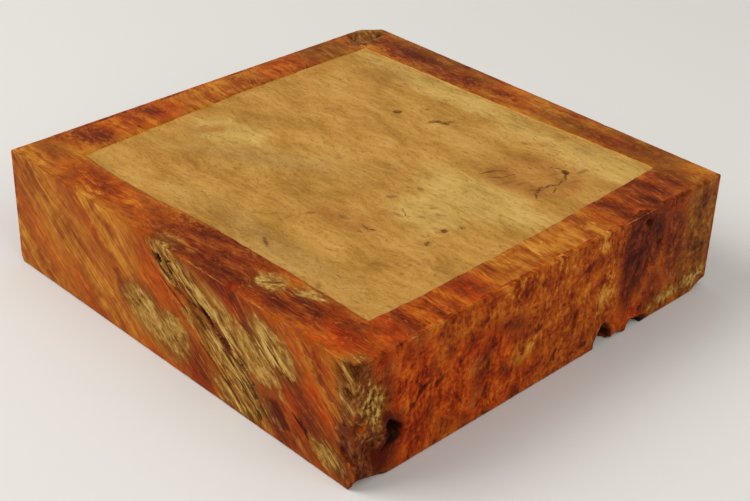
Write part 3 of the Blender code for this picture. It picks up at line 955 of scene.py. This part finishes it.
        softened = np.clip(fields[Field.DECAYED] / self.ridge_start, 0.0, 1.0)
        lean = (1.0 - np.abs(outward).max(axis=1)) / (1.0 - math.sqrt(0.5))
        edge = lean.clip(0.0, 1.0)
        nicks = np.maximum(self.nicks.swing(points) - self.nick_start, 0.0)
        inward = self.ridges.depth * softened * self.ridges.share(fibres) ** 2
        inward += self.knobs.depth * torn.clip(0.0, 1.0) * self.knobs.share(points)
        inward += self.nicks.depth * edge * nicks
        points -= inward[:, None] * outward

        fields[Field.PIT], fields[Field.TORN] = pit, torn
        # The upper arrises, where a highlight is painted
        fields[Field.ARRIS] = edge * (outward[:, 2] > self.upper)
        fields[Field.LEVEL] = np.interp(np.abs(outward[:, 2]), self.level_slants, (0.0, 1.0))
        self.points, self.fields = points, fields

    def bake_map(self) -> np.ndarray:
        """Where each face corner lies on the map that the finishes are baked through.

        The top and the base lie side by side, and the four narrow sides in two rows under them, all at one
        scale with a gap between them.

        Returns:
            U and V for each corner, from 0 to 1.
        """
        size = self.high - self.low
        gap = self.map_gap
        columns = (gap, size[0] + 2 * gap)
        rows = (gap, size[1] + 2 * gap, size[1] + size[2] + 3 * gap)
        spots = {
            Side.TOP: (0, 0), Side.BASE: (1, 0), Side.FRONT: (0, 1),
            Side.RIGHT: (1, 1), Side.REAR: (0, 2), Side.LEFT: (1, 2),
        }
        corner = self.flat[self.quads]
        where = np.zeros((*self.quads.shape, 2))
        for order, side in enumerate(Side):
            mine = self.owner == order
            u = corner[mine][..., side.along] - self.low[side.along]
            v = corner[mine][..., side.up] - self.low[side.up]
            if side.turned:
                u = size[side.along] - u
            column, row = spots[side]
            where[mine] = np.stack([u + columns[column], v + rows[row]], axis=-1)
        return where.reshape(-1, 2) / (2 * size[0] + 3 * gap)

    def build(self, finishes: list[bpy.types.Material]) -> bpy.types.Object:
        """Put the surface, its attributes and its finishes into one object.

        Args:
            finishes: the waxed and the bare finish, in that order.

        Returns:
            The block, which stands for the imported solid.
        """
        self.shape()
        mesh = bpy.data.meshes.new("burl_block_wood")
        mesh.vertices.add(len(self.points))
        mesh.vertices.foreach_set("co", (self.points * METRES_PER_MM).astype(np.float32).ravel())
        mesh.loops.add(self.quads.size)
        mesh.loops.foreach_set("vertex_index", self.quads.astype(np.int32).ravel())
        mesh.polygons.add(len(self.quads))
        mesh.polygons.foreach_set("loop_start", np.arange(0, self.quads.size, 4, dtype=np.int32))
        mesh.polygons.foreach_set("material_index", self.bare.astype(np.int32))
        mesh.polygons.foreach_set("use_smooth", np.ones(len(self.quads), dtype=bool))
        for kind, values in self.fields.items():
            attribute = mesh.attributes.new(kind.value, "FLOAT", "POINT")
            attribute.data.foreach_set("value", values.astype(np.float32))
        bake = mesh.uv_layers.new(name="OFBake", do_init=False)
        bake.uv.foreach_set("vector", self.bake_map().astype(np.float32).ravel())
        mesh.update(calc_edges=True)
        mesh.validate()
        for finish in finishes:
            mesh.materials.append(finish)
        block = bpy.data.objects.new("burl_block_wood", mesh)
        bpy.context.scene.collection.objects.link(block)
        return block


class Tint(Enum):
    """The colours of each kind of wood, from its darkest grain to its palest."""

    AMBER = ("#78340C", "#9C5014", "#B06A1E", "#C88630")
    HONEY = ("#8C4A10", "#A86418", "#C07E26", "#D69E42")
    RUSSET = ("#5C1A06", "#8E3808", "#AA500E", "#C8781E")
    EMBER = ("#4A0E04", "#8C2804", "#AC3E08", "#C86212")
    MAROON = ("#340E04", "#5E2008", "#7E320C", "#A25820")
    UMBER = ("#401C08", "#6C380C", "#824A12", "#A46A20")
    DUSK = ("#1C0402", "#421004", "#5C1C08", "#7C300E")
    BARKY = ("#140602", "#3E180A", "#683014", "#A46E38")
    DECAYED = ("#44260E", "#8A6028", "#AE8540", "#CEA85C")
    TAN = ("#8E6022", "#A87832", "#B98840", "#C89C56")
    TOFFEE = ("#744614", "#9A642A", "#AC7432", "#BE8C46")
    CREAM = ("#98743A", "#B28E48", "#C29C52", "#D0AE66")
    SMOKE = ("#7A5628", "#96723A", "#A88244", "#B89656")


# The grain's value at which each colour of a tint stands
TINT_STOPS = (0.2, 0.42, 0.58, 0.82)


@dataclass(frozen=True)
class Wood:
    """A kind of wood laid over the others: its colours, the grain that picks one, and how much shows."""

    tint: Tint
    grain: str
    share: str = ""


@dataclass(frozen=True)
class Mark:
    """A colour laid over the wood: the value it follows, where it begins and is full, and how much shows."""

    shade: str
    value: str
    start: float
    full: float
    most: float


class NodeBench:
    """A material's node tree, and what a finish has drawn in it so far, by name."""

    def __init__(self, name: str) -> None:
        """Start an empty tree in a new material.

        Args:
            name: the material's name.
        """
        self.material = bpy.data.materials.new(name)
        self.material.use_nodes = True
        self.tree = self.material.node_tree
        self.tree.nodes.clear()
        self.drawn: dict[str, Socket] = {}

    def add(self, kind: str, inputs: dict[str | int, object], **settings: object) -> bpy.types.Node:
        """Add one node.

        Args:
            kind: the node's type.
            inputs: for each input's name or number, a value, or the output that is linked to it.
            settings: the node's own properties.

        Returns:
            The node.
        """
        node = self.tree.nodes.new(kind)
        for name, value in settings.items():
            setattr(node, name, value)
        for name, value in inputs.items():
            if isinstance(value, Socket):
                self.tree.links.new(value, node.inputs[name])
            else:
                node.inputs[name].default_value = value
        return node

    def draw(self, finish: "WaxedBurl | BareMaple", kind: type) -> None:
        """Draw a finish's steps of one kind, in the order of its fields.

        Args:
            finish: the finish.
            kind: the class that the steps belong to.
        """
        for name, step in vars(finish).items():
            if isinstance(step, kind):
                self.drawn[name] = step.draw(self)

    def paint(self, woods: tuple[Wood, ...], marks: tuple[Mark, ...]) -> Socket:
        """Lay each kind of wood over the ones before it, and then each mark.

        Args:
            woods: the kinds of wood. The first shows everywhere.
            marks: the marks.

        Returns:
            The colour.
        """
        colour = None
        for wood in woods:
            ramp = self.add("ShaderNodeValToRGB", {"Fac": self.drawn[wood.grain]})
            band = ramp.color_ramp
            while len(band.elements) < len(TINT_STOPS):
                band.elements.new(0.5)
            for element, stop, shade in zip(band.elements, TINT_STOPS, wood.tint.value):
                element.position = stop
                element.color = linear(shade)
            shown = ramp.outputs[0]
            if wood.share:
                layers = {0: self.drawn[wood.share], 6: colour, 7: shown}
                shown = self.add("ShaderNodeMix", layers, data_type="RGBA").outputs[2]
            colour = shown
        for mark in marks:
            edge = {"Value": self.drawn[mark.value], "From Min": mark.start, "From Max": mark.full}
            edge["To Max"] = mark.most
            share = self.add("ShaderNodeMapRange", edge, interpolation_type="SMOOTHSTEP").outputs[0]
            layers = {0: share, 6: colour, 7: linear(mark.shade)}
            colour = self.add("ShaderNodeMix", layers, data_type="RGBA").outputs[2]
        return colour

    def finish(self, relief: float, inputs: dict[str, object]) -> bpy.types.Material:
        """Close the tree with a surface shader.

        Args:
            relief: how deep the bumps of the drawn height are, in mm.
            inputs: the shader's other inputs, as for add.

        Returns:
            The material.
        """
        if relief:
            height = {"Height": self.drawn["height"], "Distance": relief * METRES_PER_MM}
            inputs = {**inputs, "Normal": self.add("ShaderNodeBump", height).outputs[0]}
        shader = self.add("ShaderNodeBsdfPrincipled", inputs)
        self.add("ShaderNodeOutputMaterial", {"Surface": shader.outputs[0]})
        return self.material


@dataclass(frozen=True)
class Run:
    """How the grain runs: how far slow and quick noise bend it, in mm, and how far it dips, in degrees."""

    slow: float
    quick: float
    dip: float = GRAIN_DIP

    def draw(self, bench: NodeBench) -> Socket:
        """Draw the point, in mm along the fibre, level across it and upwards across it.

        Args:
            bench: the material's bench.

        Returns:
            The point, bent as the grain is.
        """
        where = bench.add("ShaderNodeTexCoord", {}).outputs["Object"]
        dip = (0.0, -math.radians(self.dip), 0.0)
        turning = {"Vector": where, "Scale": (1 / METRES_PER_MM,) * 3, "Rotation": dip}
        turned = bench.add("ShaderNodeMapping", turning).outputs[0]
        point = turned
        for size, reach in zip(SWIRLS, (self.slow, self.quick)):
            swirl = bench.add("ShaderNodeTexNoise", {"Vector": turned, "Scale": 1 / size, "Detail": 1.0})
            halves = {0: swirl.outputs["Color"], 1: (0.5, 0.5, 0.5)}
            centred = bench.add("ShaderNodeVectorMath", halves, operation="SUBTRACT").outputs[0]
            moving = {0: centred, 1: (2 * reach,) * 3, 2: point}
            point = bench.add("ShaderNodeVectorMath", moving, operation="MULTIPLY_ADD").outputs[0]
        return point


class Step:
    """A value that a finish draws under its field's name, from what has been drawn before it."""

    def draw(self, bench: NodeBench) -> Socket:
        """Add the step's nodes to a bench and give the output that holds its value."""
        raise NotImplementedError


@dataclass(frozen=True)
class Pattern(Step):
    """Noise drawn out along the fibres, centred on zero and mostly within a third each way.

    It has the grain's run that it follows, its size along the fibres, level across them and upwards across
    them, in mm, and how many finer layers it has.
    """

    run: str
    size: Triple
    finer: float

    def draw(self, bench: NodeBench) -> Socket:
        """Draw the noise, less a half, at the point over the size.

        Args:
            bench: the material's bench.

        Returns:
            The noise.
        """
        cells = {0: bench.drawn[self.run], 1: tuple(1 / s for s in self.size)}
        scaled = bench.add("ShaderNodeVectorMath", cells, operation="MULTIPLY").outputs[0]
        value = bench.add("ShaderNodeTexNoise", {"Vector": scaled, "Scale": 1.0, "Detail": self.finer})
        return bench.add("ShaderNodeMath", {0: value.outputs[0], 1: 0.5}, operation="SUBTRACT").outputs[0]


@dataclass(frozen=True)
class Spots(Step):
    """Round spots of many sizes, one in each cell.

    They have the grain's run that they follow, a cell's size in mm as a pattern's is, and how much of a cell
    the largest spot's radius takes.
    """

    run: str
    size: Triple
    largest: float

    def draw(self, bench: NodeBench) -> Socket:
        """Draw the largest spot times the cell's random number, less the distance from its middle in cells.

        Args:
            bench: the material's bench.

        Returns:
            The value, positive inside a spot.
        """
        cells = {0: bench.drawn[self.run], 1: tuple(1 / s for s in self.size)}
        scaled = bench.add("ShaderNodeVectorMath", cells, operation="MULTIPLY").outputs[0]
        spots = bench.add("ShaderNodeTexVoronoi", {"Vector": scaled, "Scale": 1.0})
        number = bench.add("ShaderNodeSeparateColor", {0: spots.outputs["Color"]}).outputs[0]
        radius = bench.add("ShaderNodeMath", {0: number, 1: self.largest}, operation="MULTIPLY").outputs[0]
        inside = {0: radius, 1: spots.outputs["Distance"]}
        return bench.add("ShaderNodeMath", inside, operation="SUBTRACT").outputs[0]


@dataclass(frozen=True)
class Blend(Step):
    """A sum of what has been drawn, each by its name times its weight, about a level."""

    weights: dict[str, float]
    level: float = 0.0

    def draw(self, bench: NodeBench) -> Socket:
        """Draw the sum.

        Args:
            bench: the material's bench.

        Returns:
            The sum.
        """
        total = self.level
        for name, weight in self.weights.items():
            adding = {0: bench.drawn[name], 1: weight, 2: total}
            total = bench.add("ShaderNodeMath", adding, operation="MULTIPLY_ADD").outputs[0]
        return total


@dataclass(frozen=True)
class Either(Step):
    """One blend where the value named by share is 0, and a second one where it is 1."""

    share: str
    first: Blend
    second: Blend

    def draw(self, bench: NodeBench) -> Socket:
        """Draw both blends and mix them by the share.

        Args:
            bench: the material's bench.

        Returns:
            The mixture.
        """
        parts = {0: bench.drawn[self.share], 2: self.first.draw(bench), 3: self.second.draw(bench)}
        return bench.add("ShaderNodeMix", parts, data_type="FLOAT").outputs[0]


@dataclass(frozen=True)
class Patch(Step):
    """How much of a stain shows: none outside it and the most inside, with an edge that the grain breaks up.

    The wobble is what moves the edge, by its reach in mm, and soft is the edge's half width in mm. It shows
    at least as much as what the last field names.
    """

    kind: Field
    wobble: str
    reach: float
    soft: float
    most: float = 1.0
    least: str = ""

    def draw(self, bench: NodeBench) -> Socket:
        """Draw a smooth step of the depth inside the stain plus the wobble.

        Args:
            bench: the material's bench.

        Returns:
            The share that shows.
        """
        depth = bench.add("ShaderNodeAttribute", {}, attribute_name=self.kind.value).outputs["Fac"]
        moving = {0: bench.drawn[self.wobble], 1: self.reach, 2: depth}
        moved = bench.add("ShaderNodeMath", moving, operation="MULTIPLY_ADD").outputs[0]
        edge = {"Value": moved, "From Min": -self.soft, "From Max": self.soft, "To Max": self.most}
        share = bench.add("ShaderNodeMapRange", edge, interpolation_type="SMOOTHSTEP").outputs[0]
        if self.least:
            both = {0: share, 1: bench.drawn[self.least]}
            share = bench.add("ShaderNodeMath", both, operation="MAXIMUM").outputs[0]
        return share


@dataclass(frozen=True)
class Split(Step):
    """How much of a drawn crack shows: 1 on its line, fading to its sides and its ends.

    The wobble moves the line by its reach, in half widths of the crack. The pairs are where the crack is
    gone and where it is full: across it in half widths, near it in mm, and in the value of the breaks, where
    low ones leave only the closed share.
    """

    wobble: str
    reach: float
    breaks: str
    across: tuple[float, float] = (1.2, 0.5)
    near: tuple[float, float] = (-1.3, -0.7)
    opening: tuple[float, float] = (-0.24, 0.06)
    closed: float = 0.15

    def draw(self, bench: NodeBench) -> Socket:
        """Draw the line, times how near the crack is, times how open it is.

        Args:
            bench: the material's bench.

        Returns:
            The share that shows.
        """
        bank, near = (
            bench.add("ShaderNodeAttribute", {}, attribute_name=kind.value).outputs["Fac"]
            for kind in (Field.BANK, Field.CRACK)
        )
        moving = {0: bench.drawn[self.wobble], 1: self.reach, 2: bank}
        moved = bench.add("ShaderNodeMath", moving, operation="MULTIPLY_ADD").outputs[0]
        away = bench.add("ShaderNodeMath", {0: moved}, operation="ABSOLUTE").outputs[0]
        shown = 1.0
        for value, (gone, full), least, curve in (
            (away, self.across, 0.0, "SMOOTHSTEP"),
            (near, self.near, 0.0, "LINEAR"),
            (bench.drawn[self.breaks], self.opening, self.closed, "LINEAR"),
        ):
            edge = {"Value": value, "From Min": gone, "From Max": full, "To Min": least}
            share = bench.add("ShaderNodeMapRange", edge, interpolation_type=curve).outputs[0]
            shown = bench.add("ShaderNodeMath", {0: share, 1: shown}, operation="MULTIPLY").outputs[0]
        return shown


@dataclass(frozen=True)
class WaxedBurl:
    """Maple burl, sawn and dipped in hot wax: the wax soaks in, so the wood looks wet, deep and orange.

    It gives the eye a satin gloss over streaks of gold, amber and red-brown. The decayed parts stay olive,
    dull and fibrous, because the wax sinks into them.
    """

    # The grain on the sides, the flatter strokes of the top, and the burl's own run
    dipping: Run = Run(2.2, 0.5)
    lying: Run = Run(3.4, 1.7, LEVEL_DIP)
    curly: Run = Run(4.0, 1.2)
    # Growth layers, streaks, fibres, decayed bands and shreds of the straight wood. Maple's own fibres are
    # far too fine to show, so bundles of them under a millimetre across are drawn
    layers: Pattern = Pattern("dipping", (60.0, 5.5, 11.0), 3.0)
    streaks: Pattern = Pattern("straight", (24.0, 1.6, 2.2), 3.0)
    fibres: Pattern = Pattern("straight", (10.0, 0.7, 0.8), 2.0)
    bands: Pattern = Pattern("straight", (34.0, 1.5, 2.6), 2.0)
    shreds: Pattern = Pattern("straight", (10.0, 0.8, 1.1), 3.0)
    # Curls across the fibres, and the burl's mottles, drips, crumbs, grit and eyes
    curls: Pattern = Pattern("curly", (3.6, 9.0, 7.0), 2.0)
    mottles: Pattern = Pattern("curly", (10.0, 8.0, 7.0), 4.0)
    drips: Pattern = Pattern("curly", (9.0, 1.8, 8.0), 3.0)
    crumbs: Pattern = Pattern("curly", (4.0, 2.2, 2.0), 3.0)
    grit: Pattern = Pattern("curly", (2.0, 0.9, 0.9), 1.0)
    eyes: Spots = Spots("curly", (11.0, 4.2, 5.6), 0.34)
    # The grain that picks each wood's colours, and the shift that breaks up the stains' edges
    burly: Patch = Patch(Field.BURLY, "streaks", 1.0, 1.0)
    figure: Either = Either(
        "burly",
        Blend({"layers": 0.95, "streaks": 0.6, "fibres": 0.5, "curls": 0.35}, 0.5),
        Blend({"mottles": 1.0, "crumbs": 0.8, "grit": 0.4, "drips": 0.5}, 0.5),
    )
    shift: Either = Either(
        "burly",
        Blend({"layers": 1.6, "streaks": 3.0, "fibres": 1.6, "crumbs": 1.6, "curls": 1.2}),
        Blend({"mottles": 2.4, "crumbs": 2.2, "grit": 1.0, "drips": 2.0}),
    )
    ragged: Blend = Blend({"layers": 0.8, "streaks": 1.8, "crumbs": 1.8, "grit": 0.6})
    wider: Blend = Blend({"ragged": 1.0}, 0.6)
    crumbly: Blend = Blend({"mottles": 0.6, "crumbs": 0.7, "grit": 0.4, "streaks": 0.35}, 0.54)
    opened: Patch = Patch(Field.OPENED, "shift", 4.0, 3.0)
    open_grain: Either = Either(
        "opened", Blend({"crumbly": 1.0}), Blend({"bands": 1.9, "fibres": 0.8, "crumbs": 0.6}, 0.48)
    )
    # How much of each wood shows
    red: Patch = Patch(Field.RUSSET, "shift", 6.0, 1.8, least="burly")
    gold: Patch = Patch(Field.HONEY, "shift", 5.0, 1.6, 0.65)
    dull: Patch = Patch(Field.UMBER, "shift", 6.0, 2.0, 0.85)
    bright: Patch = Patch(Field.EMBER, "shift", 6.0, 1.4, 0.85)
    stained: Patch = Patch(Field.MAROON, "shift", 5.0, 0.7, 0.9)
    dark: Patch = Patch(Field.DUSK, "shift", 4.0, 0.8, 0.88)
    barked: Patch = Patch(Field.BARKY, "ragged", 4.0, 1.0, 0.95)
    fringe: Patch = Patch(Field.DECAYED, "wider", 4.0, 2.4, 0.7)
    decayed: Patch = Patch(Field.DECAYED, "ragged", 4.0, 2.2, 0.95)
    broken: Patch = Patch(Field.TORN, "ragged", 1.6, 0.8, 0.8)
    woods: tuple[Wood, ...] = (
        Wood(Tint.AMBER, "figure"),
        Wood(Tint.RUSSET, "figure", "red"),
        Wood(Tint.HONEY, "figure", "gold"),
        Wood(Tint.UMBER, "figure", "dull"),
        Wood(Tint.EMBER, "figure", "bright"),
        Wood(Tint.MAROON, "figure", "stained"),
        Wood(Tint.DUSK, "figure", "dark"),
        Wood(Tint.BARKY, "crumbly", "barked"),
        Wood(Tint.UMBER, "figure", "fringe"),
        Wood(Tint.DECAYED, "open_grain", "decayed"),
        Wood(Tint.BARKY, "crumbly", "broken"),
    )
    # The burl's eyes, dark lines between fibres and painted highlights along them, splinters and splits of
    # opened wood, small specks and cracks, a painted highlight on the upper arrises, and painted shade, with
    # some dirt, in the pits
    eyed: Blend = Blend({"eyes": 1.0, "burly": 0.5})
    lines: Blend = Blend({"shreds": 1.0, "burly": -1.0})
    # Painted highlights along the fibres
    gleams: Blend = Blend({"shreds": -1.0, "red": 0.4, "burly": -1.0})
    splinters: Blend = Blend({"shreds": 1.0, "opened": 0.4})
    splits: Blend = Blend({"shreds": -1.0, "opened": 0.4, "decayed": 0.4})
    speck: Patch = Patch(Field.SPECKS, "shift", 1.0, 0.8, 0.8)
    split: Split = Split("shift", 0.7, "crumbs")
    # A painted highlight along the upper arrises, broken up by the crumbs and mottles
    worn: Blend = Blend({"arris": 1.0, "crumbs": 1.2, "mottles": 2.2})
    marks: tuple[Mark, ...] = (
        Mark("#4C1206", "eyed", 0.58, 0.69, 0.7),
        Mark("#6E240A", "lines", 0.05, 0.2, 0.5),
        # The painted highlights along the fibres
        Mark("#C47A34", "gleams", 0.48, 0.64, 0.5),
        Mark("#6E2A10", "splinters", 0.43, 0.54, 0.6),
        Mark("#321008", "splits", 0.88, 0.98, 0.75),
        Mark("#4C1206", "speck", 0.0, 1.0, 1.0),
        Mark("#321008", "split", 0.0, 1.0, 0.8),
        # The painted highlight on the upper arrises
        Mark("#D8954C", "worn", 0.45, 1.1, 0.6),
        # Painted shade, with some dirt, in the pits and clefts
        Mark("#1A0A06", "pit", 0.0, 1.4, 0.93),
    )
    # The relief is 2.6 times as deep in decayed wood, and the gloss goes where the wax has sunk in
    flat: Blend = Blend({"fibres": 1.0, "streaks": 1.0, "crumbs": 0.6, "shreds": 0.6})
    deep: Either = Either("decayed", Blend({"flat": 1.0}), Blend({"flat": 2.6}))
    height: Blend = Blend({"deep": 1.0, "split": -1.0, "splits": -2.0})
    relief: float = 0.16
    waxed_roughness: float = 0.48
    sunken_roughness: float = 0.85
    gloss: float = 0.06
    gloss_tint: str = "#F0C08A"

    def material(self) -> bpy.types.Material:
        """Build the finish.

        Returns:
            The material.
        """
        bench = NodeBench("hot_waxed_maple_burl")
        for kind in (Field.LEVEL, Field.ARRIS, Field.PIT):
            reading = bench.add("ShaderNodeAttribute", {}, attribute_name=kind.value)
            bench.drawn[kind.value] = reading.outputs["Fac"]
        bench.draw(self, Run)
        runs = {0: bench.drawn["level"], 4: bench.drawn["dipping"], 5: bench.drawn["lying"]}
        bench.drawn["straight"] = bench.add("ShaderNodeMix", runs, data_type="VECTOR").outputs[1]
        bench.draw(self, Step)
        dulling = {
            "Value": bench.drawn["decayed"], "To Min": self.waxed_roughness, "To Max": self.sunken_roughness
        }
        return bench.finish(
            self.relief,
            {
                "Base Color": bench.paint(self.woods, self.marks),
                "Roughness": bench.add("ShaderNodeMapRange", dulling).outputs[0],
                "IOR": WOOD_IOR,
                "Specular IOR Level": self.gloss,
                "Specular Tint": linear(self.gloss_tint),
            },
        )


@dataclass(frozen=True)
class BareMaple:
    """Maple burl, sawn and left bare: dry wood that gives the eye a matt, pale tan with faint figure."""

    # Growth layers, streaks, bundles of fibres, and the short dashes and round flecks of the figure
    curly: Run = Run(4.0, 1.4)
    layers: Pattern = Pattern("curly", (60.0, 14.0, 18.0), 3.0)
    streaks: Pattern = Pattern("curly", (22.0, 2.2, 5.0), 3.0)
    fibres: Pattern = Pattern("curly", (9.0, 0.6, 0.8), 2.0)
    dashes: Pattern = Pattern("curly", (4.0, 1.3, 2.0), 2.0)
    flecks: Spots = Spots("curly", (14.0, 3.4, 6.0), 0.3)
    # The grain that picks each wood's colours, the shift that breaks up the stains' edges, and the stains
    figure: Blend = Blend({"layers": 0.8, "streaks": 0.5, "fibres": 0.4}, 0.5)
    shift: Blend = Blend({"layers": 2.0, "streaks": 1.6})
    greyed: Patch = Patch(Field.SMOKE, "shift", 6.0, 6.0, 0.6)
    creamy: Patch = Patch(Field.CREAM, "shift", 4.0, 4.0, 0.8)
    browned: Patch = Patch(Field.TOFFEE, "shift", 6.0, 1.6, 0.8)
    woods: tuple[Wood, ...] = (
        Wood(Tint.TAN, "figure"),
        Wood(Tint.SMOKE, "figure", "greyed"),
        Wood(Tint.CREAM, "figure", "creamy"),
        Wood(Tint.TOFFEE, "figure", "browned"),
    )
    # The figure's brown flecks and dashes, then a halo round each pit, the specks, the cracks, and painted
    # shade, with some dirt, in the pits
    halo: Patch = Patch(Field.PIT, "shift", 2.0, 2.0)
    speck: Patch = Patch(Field.SPECKS, "shift", 0.9, 0.9)
    split: Split = Split("shift", 0.8, "streaks")
    marks: tuple[Mark, ...] = (
        Mark("#7A5222", "flecks", 0.1, 0.22, 0.6),
        Mark("#7A5222", "dashes", 0.08, 0.2, 0.45),
        Mark("#80542A", "halo", 0.0, 1.0, 0.4),
        Mark("#7C4E20", "speck", 0.0, 1.0, 0.65),
        Mark("#552E10", "split", 0.0, 1.0, 0.8),
        # Painted shade, with some dirt, in the pits
        Mark("#4A2A10", "pit", 0.0, 0.5, 0.8),
    )
    height: Blend = Blend({"fibres": 1.0, "streaks": 1.0, "split": -2.0})
    relief: float = 0.05
    roughness: float = 0.7
    gloss: float = 0.1

    def material(self) -> bpy.types.Material:
        """Build the finish.

        Returns:
            The material.
        """
        bench = NodeBench("bare_sawn_maple_burl")
        reading = bench.add("ShaderNodeAttribute", {}, attribute_name=Field.PIT.value)
        bench.drawn[Field.PIT.value] = reading.outputs["Fac"]
        bench.draw(self, Run)
        bench.draw(self, Step)
        return bench.finish(
            self.relief,
            {
                "Base Color": bench.paint(self.woods, self.marks),
                "Roughness": self.roughness,
                "IOR": WOOD_IOR,
                "Specular IOR Level": self.gloss,
            },
        )


@dataclass(frozen=True)
class Lamp:
    """A square soft lamp that points at the block: its place and side in metres, and its power in watts."""

    name: str
    place: Triple
    side: float
    power: float

    def hang(self) -> None:
        """Make the lamp."""
        light = bpy.data.lights.new(self.name, "AREA")
        light.size = self.side
        light.energy = self.power
        holder = bpy.data.objects.new(self.name, light)
        aim = (-Vector(self.place)).to_track_quat("-Z", "Y")
        holder.matrix_world = Matrix.Translation(self.place) @ aim.to_matrix().to_4x4()
        bpy.context.scene.collection.objects.link(holder)


@dataclass(frozen=True)
class Studio:
    """A pale floor, two soft lamps, a pale sky and the camera."""

    # The camera's place, in mm, and its turn, tilt and roll in degrees, worked out from the block's edges,
    # and its focal length and its sensor's width in mm
    camera: Triple = (387.2, -380.7, 335.8)
    yaw: float = 44.97
    pitch: float = 30.91
    roll: float = 2.0
    lens: float = 72.73
    sensor: float = 36.0
    lamps: tuple[Lamp, ...] = (
        Lamp("key_lamp", (-0.75, -0.95, 1.25), 1.1, 21.0),
        Lamp("fill_lamp", (1.3, -0.1, 1.1), 1.3, 9.0),
    )
    sky_strength: float = 0.5
    # The floor's side is in metres
    floor_size: float = 5.0
    floor_colour: str = "#D9D6D0"
    floor_roughness: float = 0.9

    def build(self) -> None:
        """Make the floor, the lamps, the sky and the camera."""
        self.add_floor()
        for lamp in self.lamps:
            lamp.hang()
        self.add_sky()
        self.add_camera()

    def add_floor(self) -> None:
        """Lay a flat floor of pale paper, matt enough to give the eye only the block's shadow."""
        half = self.floor_size / 2
        mesh = bpy.data.meshes.new("studio_floor")
        corners = [(-half, -half, 0), (half, -half, 0), (half, half, 0), (-half, half, 0)]
        mesh.from_pydata(corners, [], [(0, 1, 2, 3)])
        paper = {"Base Color": linear(self.floor_colour), "Roughness": self.floor_roughness}
        mesh.materials.append(NodeBench("pale_paper_floor").finish(0.0, paper))
        floor = bpy.data.objects.new("studio_floor", mesh)
        bpy.context.scene.collection.objects.link(floor)

    def add_sky(self) -> None:
        """Light the scene evenly from all round."""
        world = bpy.data.worlds.new("studio_sky")
        world.use_nodes = True
        sky = world.node_tree.nodes["Background"]
        sky.inputs["Color"].default_value = (1.0, 1.0, 1.0, 1.0)
        sky.inputs["Strength"].default_value = self.sky_strength
        bpy.context.scene.world = world

    def add_camera(self) -> None:
        """Stand the camera where the photograph was taken from."""
        yaw, pitch, roll = (math.radians(a) for a in (self.yaw, self.pitch, self.roll))
        ahead = Vector((-math.cos(pitch) * math.sin(yaw), math.cos(pitch) * math.cos(yaw), -math.sin(pitch)))
        level = Vector((math.cos(yaw), math.sin(yaw), 0.0))
        upright = level.cross(ahead)
        across = level * math.cos(roll) + upright * math.sin(roll)
        upward = upright * math.cos(roll) - level * math.sin(roll)
        lens = bpy.data.cameras.new("camera")
        lens.lens = self.lens
        lens.sensor_width = self.sensor
        holder = bpy.data.objects.new("camera", lens)
        turn = Matrix((across, upward, -ahead)).transposed().to_4x4()
        holder.matrix_world = Matrix.Translation(Vector(self.camera) * METRES_PER_MM) @ turn
        bpy.context.scene.collection.objects.link(holder)
        bpy.context.scene.camera = holder


def main() -> None:
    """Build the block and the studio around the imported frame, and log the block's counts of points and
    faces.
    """
    logging.basicConfig(level=logging.INFO, format="%(name)s: %(message)s")
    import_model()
    low, high = (np.array(corner) / METRES_PER_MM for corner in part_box(NODE))

    block = BurlBlock(low, high)
    piece = block.build([WaxedBurl().material(), BareMaple().material()])
    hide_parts(NODE)
    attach(piece, BODY)
    LOG.info("%s: %d points, %d faces", piece.name, len(block.points), len(block.quads))

    Studio().build()
    bpy.context.scene.view_settings.view_transform = "Standard"


if __name__ == "__main__":
    main()
